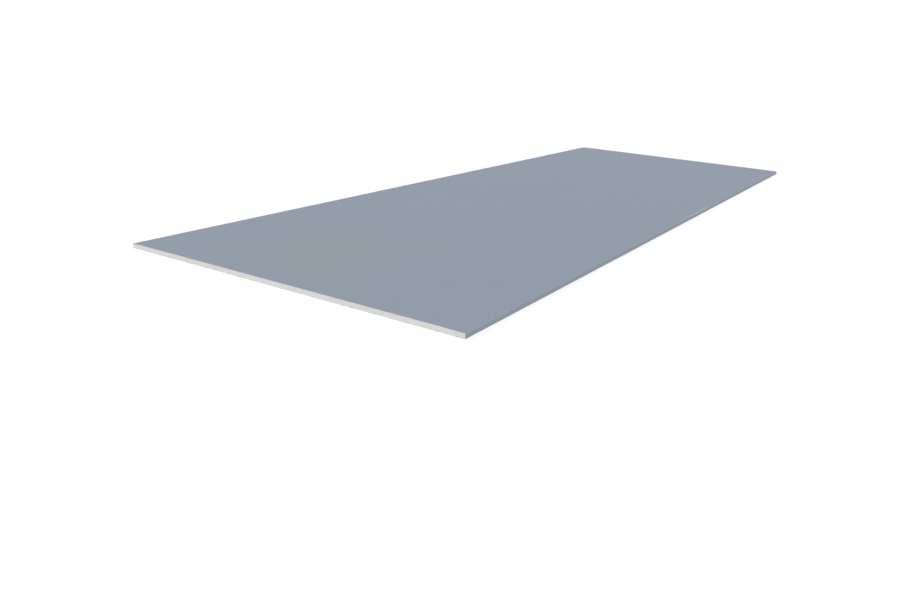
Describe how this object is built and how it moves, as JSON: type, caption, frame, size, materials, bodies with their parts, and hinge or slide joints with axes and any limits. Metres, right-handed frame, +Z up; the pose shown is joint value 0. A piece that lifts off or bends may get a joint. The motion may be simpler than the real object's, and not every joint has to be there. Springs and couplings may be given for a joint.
{
  "type": "drywall sheet",
  "caption": "Drywall sheet: a white gypsum core lined with grey paper, with shallow tapered, paper-wrapped long edges and square cut ends.",
  "frame": {"origin": "the middle of the back, on the plane that the sheet lies on", "axes": "+X along the sheet's length, +Y across its width, +Z up through its thickness, out of the face"},
  "size_m": [3, 1.2, 0.015],
  "materials": {
    "gypsum_core": "matte, crumbly set plaster",
    "face_paper": "matte, smooth lining paper",
    "back_paper": "matte, plain liner paper"
  },
  "bodies": {
    "root": {"gypsum_core": "gypsum_core", "face_paper": "face_paper", "back_paper": "back_paper"}
  },
  "joints": []
}
